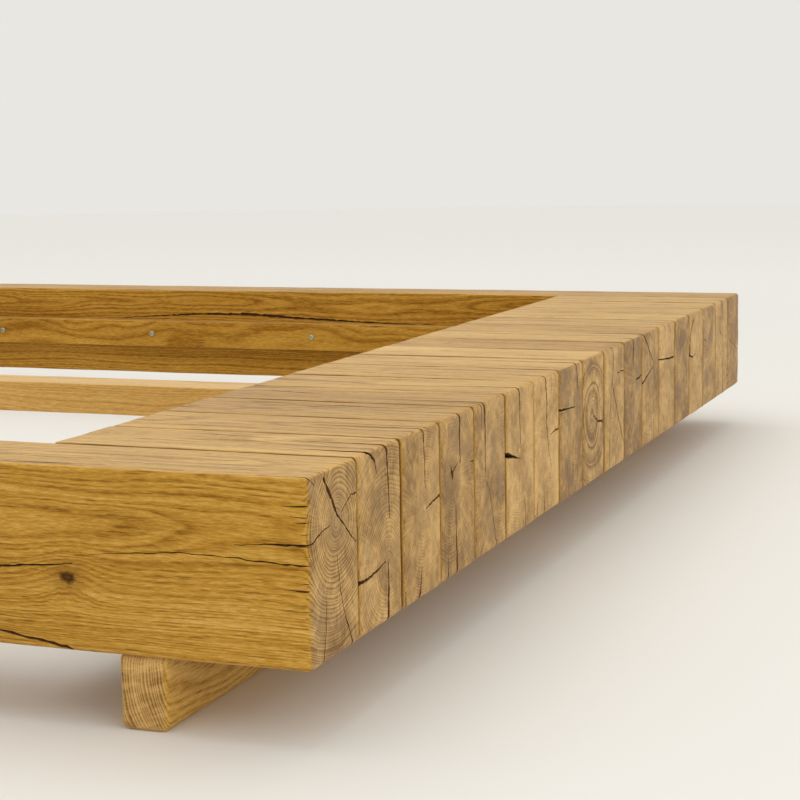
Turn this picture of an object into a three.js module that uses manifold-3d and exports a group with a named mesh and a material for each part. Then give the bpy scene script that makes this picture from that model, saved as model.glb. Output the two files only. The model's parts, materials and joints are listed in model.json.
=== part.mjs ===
// Solid oak beam bed frame: two long side rails, an end block of short beams at each end, a wooden
// runner under each block, and the ledgers and centre rail that a slatted base lies on.
//
// Millimetres. X runs along the bed and points to the foot end, Y runs across it, Z is up. The
// origin is on the floor under the middle of the frame.

import * as THREE from 'three';
import { mergeVertices } from 'three/addons/utils/BufferGeometryUtils.js';
import Module from 'manifold-3d';

const wasm = await Module();
wasm.setup();

// Room left between two pieces that touch: the glue line between beams and the seat of each fitting.
const fitGap = 0.3;

// Beams: the rails and the short beams of both end blocks are cut from one section.
const beamWidth = 115;
const beamHeight = 177;
const beamEase = 4;
const beamsAcross = 18;

// Lengths. The opening takes the mattress with some play at each end.
const mattressLength = 2000;
const mattressPlay = 20;
const endBlockDepth = 333;

// Runner under each end block, across the whole bed and set back from its sides.
const runnerWidth = 50;
const runnerHeight = 75;
const runnerEase = 6;
const runnerFromEnd = 154;
const runnerRecess = 9;

// Ledger screwed to the inner face of each rail. Heights are above the underside of the beams.
const ledgerThickness = 34;
const ledgerHeight = 54;
const ledgerTop = 114;
const ledgerEase = 2.5;
const slatEndPlay = 1;

// Screws of one ledger: a pan head on a plain shank that bites into the rail.
const screwsPerLedger = 6;
const screwFromFootEnd = 142;
const screwFromHeadEnd = 56;
const screwShankRadius = 3;
const screwHeadRadius = 6.5;
const screwHeadHeight = 3.2;
const screwBite = 40;
const screwSides = 12;

// Centre rail on its shoes and its middle foot.
const centreRailWidth = 75;
const centreRailHeight = 47;
const centreRailTop = 109;
const centreRailEase = 2.5;
const centreFootLength = 75;

// Steel angles: one in each inside corner, and one under each end of the centre rail.
const cornerLeg = 80;
const cornerThickness = 5;
const cornerWidth = 44;
const shoeLeg = 44;
const shoeThickness = 4;
const shoeWidth = 60;
const angleHoleRadius = 4.5;
const holeFromTip = 14;
const holeFromBend = 18;

// Finishes.
const oiledOak = { color: '#b88a44', roughness: 0.55, metalness: 0 };
const blockOak = { color: '#b59361', roughness: 0.6, metalness: 0 };
const runnerOak = { color: '#a87a3c', roughness: 0.55, metalness: 0 };
const palePine = { color: '#cfae76', roughness: 0.6, metalness: 0 };
const zincSteel = { color: '#b9bcbf', roughness: 0.35, metalness: 1 };
const blackSteel = { color: '#35373a', roughness: 0.5, metalness: 1 };

// Places that follow from the sizes above.
const beamPitch = beamWidth + fitGap;
const overallWidth = beamsAcross * beamPitch - fitGap;
const innerLength = mattressLength + 2 * mattressPlay;
const overallLength = innerLength + 2 * endBlockDepth;
const beamUnderside = runnerHeight + fitGap;
const beamMiddle = beamUnderside + beamHeight / 2;
const railMiddleY = (overallWidth - beamWidth) / 2;
const railInnerY = railMiddleY - beamWidth / 2;
const slatLength = innerLength - 2 * slatEndPlay;
const ledgerMiddleY = railInnerY - fitGap - ledgerThickness / 2;
const ledgerMiddleZ = beamUnderside + ledgerTop - ledgerHeight / 2;
const ledgerUnderside = ledgerMiddleZ - ledgerHeight / 2;
const centreRailUnderside = beamUnderside + centreRailTop - centreRailHeight;

const bed = new THREE.Group();

function place(name, geometry, finish, x, y, z) {
  const mesh = new THREE.Mesh(geometry, new THREE.MeshStandardMaterial(finish));
  mesh.name = name;
  mesh.position.set(x, y, z);
  bed.add(mesh);
  return mesh;
}

// A bar along X, centred on the origin, with every edge eased by a 45 degree flat.
function easedBar(length, width, height, ease) {
  // The small octagon grows by the ease as it is extruded, which leaves flats of that size.
  const leg = ease * (Math.SQRT2 - 1);
  const halfHeight = height / 2 - ease;
  const halfWidth = width / 2 - ease;
  const outline = new THREE.Shape();
  outline.moveTo(halfHeight, leg - halfWidth);
  outline.lineTo(halfHeight, halfWidth - leg);
  outline.lineTo(halfHeight - leg, halfWidth);
  outline.lineTo(leg - halfHeight, halfWidth);
  outline.lineTo(-halfHeight, halfWidth - leg);
  outline.lineTo(-halfHeight, leg - halfWidth);
  outline.lineTo(leg - halfHeight, -halfWidth);
  outline.lineTo(halfHeight - leg, -halfWidth);
  outline.closePath();
  const depth = length - 2 * ease;
  const bar = new THREE.ExtrudeGeometry(outline, {
    depth,
    bevelEnabled: true,
    bevelThickness: ease,
    bevelSize: ease,
    bevelSegments: 1,
  });
  bar.translate(0, 0, -depth / 2);
  bar.rotateY(Math.PI / 2);
  return bar;
}

function toSolid(geometry) {
  const bare = geometry.clone();
  bare.deleteAttribute('normal');
  bare.deleteAttribute('uv');
  const merged = mergeVertices(bare);
  const vertProperties = new Float32Array(merged.attributes.position.array);
  const triVerts = new Uint32Array(merged.index.array);
  return new wasm.Manifold(new wasm.Mesh({ numProp: 3, vertProperties, triVerts }));
}

function toGeometry(solid) {
  const mesh = solid.getMesh();
  const geometry = new THREE.BufferGeometry();
  geometry.setAttribute('position', new THREE.BufferAttribute(mesh.vertProperties, 3));
  geometry.setIndex(new THREE.BufferAttribute(mesh.triVerts, 1));
  geometry.computeVertexNormals();
  return geometry;
}

// The drill bits are closed geometries, already where their holes go.
function drill(geometry, bits) {
  let solid = toSolid(geometry);
  for (const bit of bits) {
    solid = solid.subtract(toSolid(bit));
  }
  return toGeometry(solid);
}

// A drill bit along Y through the point given.
function bitAlongY(radius, length, x, y, z) {
  const bit = new THREE.CylinderGeometry(radius, radius, length, screwSides);
  bit.translate(x, y, z);
  return bit;
}

// Distances along X of the screws of one ledger, evenly spaced between the first and the last.
function ledgerScrewPlaces() {
  const first = slatLength / 2 - screwFromFootEnd;
  const last = screwFromHeadEnd - slatLength / 2;
  const step = (last - first) / (screwsPerLedger - 1);
  return Array.from({ length: screwsPerLedger }, (_, i) => first + i * step);
}

// side is -1 for the near rail and +1 for the far one. The pilot holes open on the inner face.
function addSideRail(name, side) {
  const bar = easedBar(overallLength, beamWidth, beamHeight, beamEase);
  const innerFace = -side * beamWidth / 2;
  const height = ledgerMiddleZ - beamMiddle;
  const reach = 2 * (screwBite + fitGap);
  const bits = ledgerScrewPlaces().map((x) =>
    bitAlongY(screwShankRadius + fitGap, reach, x, innerFace, height));
  place(name, drill(bar, bits), oiledOak, 0, side * railMiddleY, beamMiddle);
}

// end is +1 for the foot and -1 for the head. The outermost beams are the rails themselves.
function addEndBlock(prefix, end) {
  const x = end * (innerLength + endBlockDepth) / 2;
  for (let number = 2; number < beamsAcross; number += 1) {
    const y = (number - 1) * beamPitch - railMiddleY;
    const bar = easedBar(endBlockDepth, beamWidth, beamHeight, beamEase);
    place(`${prefix}_${String(number).padStart(2, '0')}`, bar, blockOak, x, y, beamMiddle);
  }
}

function addRunner(name, end) {
  const across = overallWidth - 2 * runnerRecess;
  const bar = easedBar(across, runnerWidth, runnerHeight, runnerEase);
  bar.rotateZ(Math.PI / 2);
  const x = end * (overallLength / 2 - runnerFromEnd - runnerWidth / 2);
  place(name, bar, runnerOak, x, 0, runnerHeight / 2);
}

function addLedger(name, side) {
  const bar = easedBar(slatLength, ledgerThickness, ledgerHeight, ledgerEase);
  const through = 2 * ledgerThickness;
  const bits = ledgerScrewPlaces().map((x) =>
    bitAlongY(screwShankRadius + fitGap, through, x, 0, 0));
  place(name, drill(bar, bits), oiledOak, 0, side * ledgerMiddleY, ledgerMiddleZ);
}

// A pan-head screw along Y with its head up and the seat of the head at the origin.
function ledgerScrew() {
  const tip = ledgerThickness + screwBite;
  const shoulder = 0.6 * screwHeadHeight;
  const profile = [
    new THREE.Vector2(0, -tip),
    new THREE.Vector2(screwShankRadius, -tip + 2 * screwShankRadius),
    new THREE.Vector2(screwShankRadius, 0),
    new THREE.Vector2(screwHeadRadius, 0),
    new THREE.Vector2(screwHeadRadius, shoulder),
    new THREE.Vector2(0.7 * screwHeadRadius, screwHeadHeight),
    new THREE.Vector2(0, screwHeadHeight),
  ];
  return new THREE.LatheGeometry(profile, screwSides);
}

function addLedgerScrews(prefix, side) {
  const seat = side * (ledgerMiddleY - ledgerThickness / 2 - fitGap);
  ledgerScrewPlaces().forEach((x, i) => {
    const name = `${prefix}_${i + 1}`;
    const screw = place(name, ledgerScrew(), zincSteel, x, seat, ledgerMiddleZ);
    screw.rotation.x = side > 0 ? Math.PI : 0;
  });
}

function addCentreRail() {
  const bar = easedBar(slatLength, centreRailWidth, centreRailHeight, centreRailEase);
  const middle = centreRailUnderside + centreRailHeight / 2;
  place('centre_rail', bar, palePine, 0, 0, middle);
  const footHeight = centreRailUnderside - fitGap;
  const foot = easedBar(centreFootLength, centreRailWidth, footHeight, centreRailEase);
  place('centre_foot', foot, palePine, 0, 0, footHeight / 2);
}

// A steel angle with its heel on the Z axis and its legs along +X and +Y, with two holes in each leg.
function steelAngle(leg, thickness, width) {
  const outline = new THREE.Shape();
  outline.moveTo(0, 0);
  outline.lineTo(leg, 0);
  outline.lineTo(leg, thickness);
  outline.lineTo(2 * thickness, thickness);
  outline.lineTo(thickness, 2 * thickness);
  outline.lineTo(thickness, leg);
  outline.lineTo(0, leg);
  outline.closePath();
  const angle = new THREE.ExtrudeGeometry(outline, { depth: width, bevelEnabled: false });
  angle.translate(0, 0, -width / 2);
  const bits = [];
  for (const along of [holeFromBend, leg - holeFromTip]) {
    const bit = bitAlongY(angleHoleRadius, 4 * thickness, along, 0, 0);
    const turned = bitAlongY(angleHoleRadius, 4 * thickness, 0, 0, 0);
    turned.rotateZ(Math.PI / 2);
    turned.translate(0, along, 0);
    bits.push(bit, turned);
  }
  return drill(angle, bits);
}

// The corner angles sit under the ledgers, against the rail and the inner end of the block.
function addCornerBracket(name, end, side) {
  const angle = steelAngle(cornerLeg, cornerThickness, cornerWidth);
  const x = end * (innerLength / 2 - fitGap);
  const y = side * (railInnerY - fitGap);
  const z = (beamUnderside + ledgerUnderside) / 2;
  const bracket = place(name, angle, blackSteel, x, y, z);
  // The legs are 45 degrees either side of the line from the corner towards the middle of the bed.
  bracket.rotation.z = Math.atan2(-side, -end) - Math.PI / 4;
}

// A shoe has one leg under the centre rail and the other down the inner end of the block.
function addShoe(name, end) {
  const angle = steelAngle(shoeLeg, shoeThickness, shoeWidth);
  angle.rotateX(-Math.PI / 2);
  const x = end * (innerLength / 2 - fitGap);
  const shoe = place(name, angle, blackSteel, x, 0, centreRailUnderside - fitGap);
  shoe.rotation.z = end > 0 ? Math.PI : 0;
}

addSideRail('side_rail_near', -1);
addSideRail('side_rail_far', 1);
addEndBlock('foot_beam', 1);
addEndBlock('head_beam', -1);
addRunner('foot_runner', 1);
addRunner('head_runner', -1);
addLedger('ledger_near', -1);
addLedger('ledger_far', 1);
addLedgerScrews('ledger_screw_near', -1);
addLedgerScrews('ledger_screw_far', 1);
addCentreRail();
addShoe('centre_rail_shoe_foot', 1);
addShoe('centre_rail_shoe_head', -1);
addCornerBracket('corner_angle_foot_near', 1, -1);
addCornerBracket('corner_angle_foot_far', 1, 1);
addCornerBracket('corner_angle_head_near', -1, -1);
addCornerBracket('corner_angle_head_far', -1, 1);

export default bed;
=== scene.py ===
"""Oak beam bed frame: the finished wood, splits, screws and steel around the fixed frame.

Metres, +Z up, +X towards the foot end of the bed. Values named _mm are millimetres on the piece.
"""

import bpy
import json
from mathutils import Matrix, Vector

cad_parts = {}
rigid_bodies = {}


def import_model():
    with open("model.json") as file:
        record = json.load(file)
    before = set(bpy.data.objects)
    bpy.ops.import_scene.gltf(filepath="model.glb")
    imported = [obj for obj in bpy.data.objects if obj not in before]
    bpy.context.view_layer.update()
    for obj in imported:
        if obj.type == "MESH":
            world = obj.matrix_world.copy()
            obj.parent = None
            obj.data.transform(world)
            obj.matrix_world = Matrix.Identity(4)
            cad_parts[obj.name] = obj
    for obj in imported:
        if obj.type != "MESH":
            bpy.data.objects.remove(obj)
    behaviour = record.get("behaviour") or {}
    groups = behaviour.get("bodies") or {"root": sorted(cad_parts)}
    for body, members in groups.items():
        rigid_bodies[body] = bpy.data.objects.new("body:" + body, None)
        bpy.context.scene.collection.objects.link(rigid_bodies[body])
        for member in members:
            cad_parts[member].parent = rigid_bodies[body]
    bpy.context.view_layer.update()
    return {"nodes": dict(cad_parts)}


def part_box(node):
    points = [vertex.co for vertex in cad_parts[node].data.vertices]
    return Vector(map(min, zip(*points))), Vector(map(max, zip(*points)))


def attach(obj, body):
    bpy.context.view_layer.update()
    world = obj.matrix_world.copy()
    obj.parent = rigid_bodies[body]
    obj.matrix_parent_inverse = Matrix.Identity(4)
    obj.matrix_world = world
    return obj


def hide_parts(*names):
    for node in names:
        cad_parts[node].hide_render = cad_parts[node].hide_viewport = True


bl_info = {
    "name": "Oak beam bed frame",
    "version": (1, 0, 0),
    "blender": (4, 5, 0),
    "location": "3D View > Sidebar > Bed frame",
    "description": "Builds the oak beams, runners, ledgers, screws and steel of the bed frame",
    "category": "Add Mesh",
}

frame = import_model()

import json
import math
import random
from functools import partial

import bpy
from mathutils import Matrix, Vector

MM = 0.001
BODY = "root"
BEAMS_ACROSS = 18
UP, NEARWARD, FARWARD = Vector((0, 0, 1)), Vector((0, -1, 0)), Vector((0, 1, 0))
# How many faces each timber has along it, across it and up.
RAIL_CELLS, BEAM_CELLS, RUNNER_CELLS = (150, 24, 36), (30, 24, 36), (120, 18, 22)
LEDGER_CELLS, CENTRE_RAIL_CELLS, FOOT_CELLS = (120, 12, 14), (120, 18, 14), (14, 14, 20)
# A place in metres that is too far away for a knot there to show.
NO_KNOT = (9, 9, 9)
# Faces that meet at more than this many degrees keep a crisp edge.
CRISP_WOOD, CRISP_STEEL = 38, 40
# Screw sizes in millimetres: head radius and height, recess radius, shank radius and length.
LEDGER_SCREW_MM = (5.8, 2.6, 2.2, 2.9, 70)
ANGLE_SCREW_MM = (7.0, 3.4, 2.6, 4.0, 40)


def corners(cad_node):
    """Lowest and highest corner of a CAD node."""
    return [Vector(corner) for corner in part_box(cad_node)]


def linear(hex_code):
    """Turn an sRGB hex colour into the linear colour that the shaders use."""
    parts = [int(hex_code[i:i + 2], 16) / 255 for i in (1, 3, 5)]
    return [c / 12.92 if c <= 0.04045 else ((c + 0.055) / 1.055) ** 2.4 for c in parts] + [1.0]


def colour(name, description, hex_code):
    """A colour property for one finish."""
    return bpy.props.FloatVectorProperty(
        name=name, description=description, subtype="COLOR", size=4, min=0, max=1,
        default=linear(hex_code))


def length(name, description, default_mm, least_mm=0.5, most_mm=12):
    """A length property, given in millimetres."""
    return bpy.props.FloatProperty(
        name=name, description=description, default=default_mm * MM, min=least_mm * MM,
        max=most_mm * MM, unit="LENGTH", precision=4)


# ---------------------------------------------------------------- settings

class OakSettings(bpy.types.PropertyGroup):
    """Colours and growth of the oak."""

    grain_dark: colour("Dark grain", "Oiled oak, early wood", "#8a5a14")
    grain_middle: colour("Middle grain", "Oiled oak, the most of it", "#bc8d38")
    grain_light: colour("Light grain", "Oiled oak, late wood", "#e2b869")
    end_dark: colour("Dark end grain", "Sawn ends, early wood that drank the oil", "#7d5a2e")
    end_middle: colour("Middle end grain", "Sawn ends, the most of them", "#b79055")
    end_light: colour("Light end grain", "Sawn ends, late wood and rays", "#dab272")
    pores: colour("Pores", "Open pores and fine dark lines of the early wood", "#6b4213")
    tannin: colour("Tannin stain", "Grey stain around the heart and old splits", "#7c6243")
    # The seam colour paints the shade of the grooves between beams as well as their oil and dust.
    seam: colour("Seam", "Oil and dust in the seams between beams", "#5a3814")
    knot: colour("Knot", "Core of a knot", "#2e1809")
    ring_width: length("Ring width", "Average width of one year's growth", 3.2, most_mm=10)


class TimberSettings(bpy.types.PropertyGroup):
    """How the timbers were worked."""

    ease: length("Eased edge", "Radius that the sander left on a beam's long edges", 4)
    end_ease: length("Eased end", "Radius around a beam's sawn ends", 6)
    runner_ease: length("Runner edge", "Radius on the edges of the runners", 8)
    slat_ease: length("Ledger edge", "Radius on the edges of ledgers and centre rail", 2)
    opening: bpy.props.FloatProperty(
        name="Split opening", description="How far the drying splits have opened",
        default=1.0, min=0.2, max=1.5, subtype="FACTOR")
    unevenness: length("Unevenness", "How far a sanded face wanders from flat", 1.8, 0, 5)


class StageSettings(bpy.types.PropertyGroup):
    """Floor and light."""

    floor: colour("Floor", "Pale plain floor", "#efede9")
    wall: colour("Surroundings", "Pale room that lights the bed", "#e8e7e2")


# ---------------------------------------------------------------- nodes

# Short names for Blender's kinds of node, each with its usual settings.
KINDS = {
    "noise": ("ShaderNodeTexNoise", {}),
    "line_noise": ("ShaderNodeTexNoise", {"noise_dimensions": "1D"}),
    "place": ("ShaderNodeTexCoord", {}),
    "attribute": ("ShaderNodeAttribute", {}),
    "apart": ("ShaderNodeSeparateXYZ", {}),
    "together": ("ShaderNodeCombineXYZ", {}),
    "range": ("ShaderNodeMapRange", {}),
    "smooth": ("ShaderNodeMapRange", {"interpolation_type": "SMOOTHSTEP"}),
    "ramp": ("ShaderNodeValToRGB", {}),
    "mix": ("ShaderNodeMix", {"data_type": "RGBA"}),
    "bump": ("ShaderNodeBump", {}),
    "position": ("GeometryNodeInputPosition", {}),
    "move": ("GeometryNodeSetPosition", {}),
    "transform": ("GeometryNodeTransform", {}),
    "cylinder": ("GeometryNodeMeshCylinder", {}),
    "cut": ("GeometryNodeMeshBoolean", {"operation": "DIFFERENCE", "solver": "MANIFOLD"}),
    "store": ("GeometryNodeStoreNamedAttribute", {"data_type": "FLOAT_VECTOR", "domain": "POINT"}),
    "realize": ("GeometryNodeRealizeInstances", {}),
    "material": ("GeometryNodeSetMaterial", {}),
}
for prefix, blender_kind, operations in (
        ("", "ShaderNodeMath", "ADD SUBTRACT MULTIPLY DIVIDE MULTIPLY_ADD MINIMUM MAXIMUM ABSOLUTE POWER "
                               "SQRT EXPONENT SINE ARCTAN2 FRACT GREATER_THAN"),
        ("vector_", "ShaderNodeVectorMath", "ADD SUBTRACT MULTIPLY DIVIDE MULTIPLY_ADD MINIMUM MAXIMUM "
                                            "ABSOLUTE SIGN SCALE NORMALIZE LENGTH")):
    for operation in operations.split():
        KINDS[prefix + operation.lower()] = (blender_kind, {"operation": operation})


def node(tree, kind, *inputs, out=0, stops=(), **settings):
    """Add one node with its settings and links, and return one output, or all of them for None.

    The inputs come in their order, or as one dictionary; each is a value or another node's output.
    """
    blender_kind, usual = KINDS.get(kind, (kind, {}))
    made = tree.nodes.new(blender_kind)
    for name, value in {**usual, **settings}.items():
        setattr(made, name, value)
    named = inputs[0] if inputs and isinstance(inputs[0], dict) else dict(enumerate(inputs))
    for key, value in named.items():
        if isinstance(value, bpy.types.NodeSocket):
            tree.links.new(value, made.inputs[key])
        else:
            made.inputs[key].default_value = value
    for i, (where, shade) in enumerate(stops):
        elements = made.color_ramp.elements
        stop = elements[i] if i < len(elements) else elements.new(where)
        stop.position, stop.color = where, shade
    return made.outputs if out is None else made.outputs[out]


def shader(name):
    """A new material, the adder of nodes to it, and the inputs of its emptied Principled shader."""
    material = bpy.data.materials.new(name)
    material.use_nodes = True
    tree = material.node_tree
    return material, partial(node, tree), tree.nodes["Principled BSDF"].inputs


def wood(name, grain_axis, side_colours, end_colours, line_colour, line_depth, ring_width):
    """Timber that is solid all the way through: the same rings run over sides and sawn ends.

    The surface reads the tree it was cut from: "log" is the place measured from the heart of the
    trunk, "tone" holds shade, greyness and ring size, "knot" is the place around a knot, and
    "wear" holds how deep in a seam and how near a split. "ends" says how strongly the rings show
    on a sawn end, and its shade.
    """
    oak = bpy.context.scene.bed_oak
    material, add, surface = shader(name)
    log, knot_at, *read = (add("attribute", out="Vector", attribute_name=value)
                           for value in ("log", "knot", "tone", "wear", "ends"))
    knot, tone, wear, ends = (add("apart", value, out=None) for value in (knot_at, *read))

    def summed(start, *shares):
        """Start plus each pattern's swing around its middle, times its share."""
        for value, share in shares:
            start = add("add", start, add("multiply_add", value, share, -0.5 * share))
        return start

    # The trunk bends and its rings ripple, so both pull the place sideways, across the grain.
    place = log
    for along, across, reach in ((1.6, 5.0, 36 * MM), (5.0, 14.0, 12 * MM), (11.0, 70.0, 1.6 * MM)):
        at = add("vector_multiply", log, (along, across, across))
        ripple = add("noise", {"Vector": at, "Scale": 1.0, "Detail": 1.0}, out="Color")
        swing = add("vector_subtract", ripple, (0.5, 0.5, 0.5))
        place = add("vector_multiply_add", swing, (0, reach, reach), place)
    spot = add("apart", place, out=None)
    radius = add("sqrt", add("add", add("power", spot["Y"], 2.0), add("power", spot["Z"], 2.0)))
    angle = add("arctan2", spot["Z"], spot["Y"])

    # Rings bulge outwards around a knot, and the knot itself has rings of its own.
    knot_flat = add("together", {"X": add("multiply", knot["X"], 0.72), "Z": knot["Z"]})
    at = add("vector_multiply", knot_at, (0.9, 0.9, 0.9))
    knot_ripple = add("noise", {"Vector": at, "Scale": 1.0})
    knot_reach = add("add", add("vector_length", knot_flat, out=1),
                     add("multiply_add", knot_ripple, 1.1, -0.55))
    bulge = add("exponent", add("multiply", add("power", knot_reach, 2.0), -0.09))
    radius = add("multiply_add", bulge, 12 * MM, radius)
    core = add("smooth", knot_reach, 0.45, 1.0, 1.0, 0.0)
    knot_halo = add("smooth", knot_reach, 0.6, 2.6, 0.4, 0.0)

    growth = add("line_noise", {"W": add("multiply", radius, 60.0), "Scale": 1.0})
    rings = add("divide", radius, add("multiply", tone["Z"], ring_width))
    year = add("fract", add("multiply_add", growth, 4.0, rings))
    seasons = (0.0, 0.0), (0.28, 0.5), (0.62, 1.0), (0.88, 0.7), (1.0, 0.0)
    late = add("ramp", year, stops=[(where, (grey, grey, grey, 1.0)) for where, grey in seasons])
    # Good and poor years follow each other in bands about 7 mm wide.
    bands = add("line_noise", {"W": add("multiply", radius, 150.0), "Scale": 1.0, "Detail": 2.0})

    # Each pattern stretches the place along the grain and across it. Fibres are finer than a tenth
    # of a millimetre; fine and streak, about 1.5 mm and 4 mm wide, are what the eye makes of them.
    # Pores are about 0.3 mm wide and are drawn at five times that, so that they show. Hairlines, 1
    # to 2 mm wide, are open early wood that holds dirt.
    pattern = {}
    for key, source, along, across, detail, roughness in (
            ("fine", place, 75.0, 680.0, 2.0, 0.75),
            ("streak", place, 7.0, 260.0, 2.0, 0.6),
            ("patch", log, 2.6, 17.0, 2.0, 0.5),
            ("pore", log, 45.0, 620.0, 1.0, 0.5),
            ("hairline", place, 1.8, 330.0, 1.0, 0.5),
            ("stain", log, 4.0, 24.0, 3.0, 0.5),
            ("grime", log, 12.0, 90.0, 2.0, 0.5)):
        at = add("vector_multiply", source, (along, across, across))
        pattern[key] = add("noise", {"Vector": at, "Scale": 1.0, "Detail": detail,
                                     "Roughness": roughness})
    pore = add("multiply", add("smooth", pattern["pore"], 0.54, 0.68), add("smooth", late, 0.9, 0.1))
    hairline = add("multiply", add("smooth", pattern["hairline"], 0.61, 0.68),
                   add("smooth", pattern["patch"], 0.60, 0.40, 0.08, 1.0))
    # Rays run out from the heart like spokes, about 2 mm apart where they show.
    at = add("together", add("multiply", angle, 46.0), add("multiply", radius, 26.0),
             add("multiply", spot["X"], 9.0))
    spoke = add("noise", {"Vector": at, "Scale": 1.0, "Detail": 3.0, "Roughness": 0.65})
    stain = add("maximum", add("smooth", pattern["stain"], 0.46, 0.70),
                add("smooth", radius, 8 * MM, 34 * MM, 0.8, 0.0))

    facing = add("apart", add("ShaderNodeNewGeometry", out="Normal"), out=None)
    sawn = add("smooth", add("absolute", facing[grain_axis]), 0.50, 0.90)
    # Dust settles in the hairlines of the top and hardly in those of the sides.
    hairline = add("multiply", hairline, add("smooth", facing["Z"], 0.5, 0.9, 0.22, 1.9))

    side_value = summed(add("add", tone["X"], 0.5), (pattern["fine"], 1.1), (pattern["streak"], 0.34),
                        (pattern["patch"], 0.5), (late, 0.30), (bands, 0.34))
    # The tops are made paler than the sides: partly the paler sanded wood, mostly painted light for the
    # brighter light and whitish sheen they catch from above.
    side_value = add("add", side_value, add("smooth", facing["Z"], 0.5, 0.9, 0.0, 0.15))
    end_value = summed(add("add", ends["Y"], 0.42), (spoke, 1.15), (pattern["patch"], 1.3),
                       (pattern["grime"], 1.0))
    end_value = add("add", end_value, add("multiply", add("multiply_add", late, 0.30, -0.15), ends["X"]))
    # The pith is a pale soft dot.
    end_value = add("add", end_value, add("smooth", radius, 1.5 * MM, 4 * MM, 0.6, 0.0))

    # Oil gathers at the edges. The seams are darkened with painted shade of the narrow groove together
    # with its oil and dust, and the wood within about 4 mm of a split is darkened too.
    oiled = add("multiply", add("smooth", wear["X"], 0.0, 0.4), add("multiply", sawn, 0.6))
    near_split = add("multiply", wear["Y"], add("smooth", pattern["grime"], 0.30, 0.62, 0.35, 0.9))
    seam_shade_and_dust = add("smooth", add("multiply_add", pattern["grime"], 0.7, wear["X"]), 0.55, 1.05, 0.0, 0.92)
    seam_shade_and_dust = add("multiply", seam_shade_and_dust, add("smooth", sawn, 0.0, 1.0, 1.0, 0.6))
    whorl = add("smooth", add("sine", add("multiply", knot_reach, 14.0)), -1.0, 1.0)
    heart = add("mix", {0: add("multiply", whorl, 0.4), 6: tuple(oak.knot), 7: line_colour}, out=2)

    side, cut = (add("ramp", value, stops=list(zip((0.0, 0.5, 1.0), colours)))
                 for value, colours in ((side_value, side_colours), (end_value, end_colours)))
    dusty = add("minimum", add("multiply", hairline, 1.2 * line_depth), 0.9)
    side = add("mix", {0: dusty, 6: side, 7: line_colour}, out=2)
    cut = add("mix", {0: add("multiply", stain, tone["Y"]), 6: cut, 7: tuple(oak.tannin)}, out=2)
    finish = side
    for share, laid_over in ((sawn, cut), (add("multiply", pore, line_depth), line_colour),
                             (oiled, side_colours[1]), (near_split, line_colour),
                             (seam_shade_and_dust, tuple(oak.seam)), (knot_halo, line_colour),
                             (add("multiply", core, 0.96), heart)):
        finish = add("mix", {0: share, 6: finish, 7: laid_over}, out=2)

    relief = summed(0.0, (pattern["fine"], 0.8), (pattern["streak"], 0.6), (late, 0.4))
    relief = add("multiply_add", pore, -0.6, add("multiply_add", hairline, -0.9, relief))
    bump = add("bump", {"Strength": 0.8, "Distance": 0.35 * MM, "Height": relief})
    rough = add("multiply_add", sawn, 0.14, add("multiply_add", pattern["streak"], 0.22, 0.36))
    for source, name in ((finish, "Base Color"), (rough, "Roughness"), (bump, "Normal")):
        material.node_tree.links.new(source, surface[name])
    surface["IOR"].default_value = 1.45
    # Loose fibres catch a little light where the eye skims the surface.
    surface["Sheen Weight"].default_value = 0.08
    surface["Sheen Roughness"].default_value = 0.4
    # Oil soaks in, so straight-on reflections come from within and are golden.
    surface["Specular Tint"].default_value = linear("#d8a850")
    return material


def oiled_oak(name, grain_axis):
    """European oak, planed, brushed and oiled: golden along the grain, tan and dull on the ends."""
    oak = bpy.context.scene.bed_oak
    sides = tuple(oak.grain_dark), tuple(oak.grain_middle), tuple(oak.grain_light)
    ends = tuple(oak.end_dark), tuple(oak.end_middle), tuple(oak.end_light)
    return wood(name, grain_axis, sides, ends, tuple(oak.pores), 0.6, oak.ring_width)


def planed_pine(name):
    """Pale softwood, planed and lightly oiled: wide soft rings and hardly a pore."""
    sides = linear("#b08238"), linear("#d3a760"), linear("#ecca8a")
    ends = linear("#a87f4a"), linear("#c79f66"), linear("#dfbb82")
    return wood(name, 0, sides, ends, linear("#9a6f34"), 0.25, 6.0 * MM)


def split_wood(name):
    """The inside of an old drying split: raw brown oak that dust and tannin have darkened."""
    material, add, surface = shader(name)
    wisps = add("noise", {"Vector": add("place", out="Object"), "Scale": 180.0, "Detail": 2.0})
    stained = add("mix", {0: wisps, 6: linear("#40240f"), 7: linear("#8f5e2d")}, out=2)
    material.node_tree.links.new(stained, surface["Base Color"])
    surface["Roughness"].default_value = 0.9
    return material


def zinc_steel(name):
    """Bright zinc plate on pressed steel: cool, smooth, with a faint spangle."""
    material, add, surface = shader(name)
    cells = add("noise", {"Vector": add("place", out="Object"), "Scale": 900.0, "Detail": 2.0})
    tint = add("mix", {0: cells, 6: linear("#8d8a72"), 7: linear("#c9c6ae")}, out=2)
    rough = add("range", {"Value": cells, "To Min": 0.22, "To Max": 0.45})
    material.node_tree.links.new(tint, surface["Base Color"])
    material.node_tree.links.new(rough, surface["Roughness"])
    surface["Metallic"].default_value = 1.0
    return material


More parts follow.
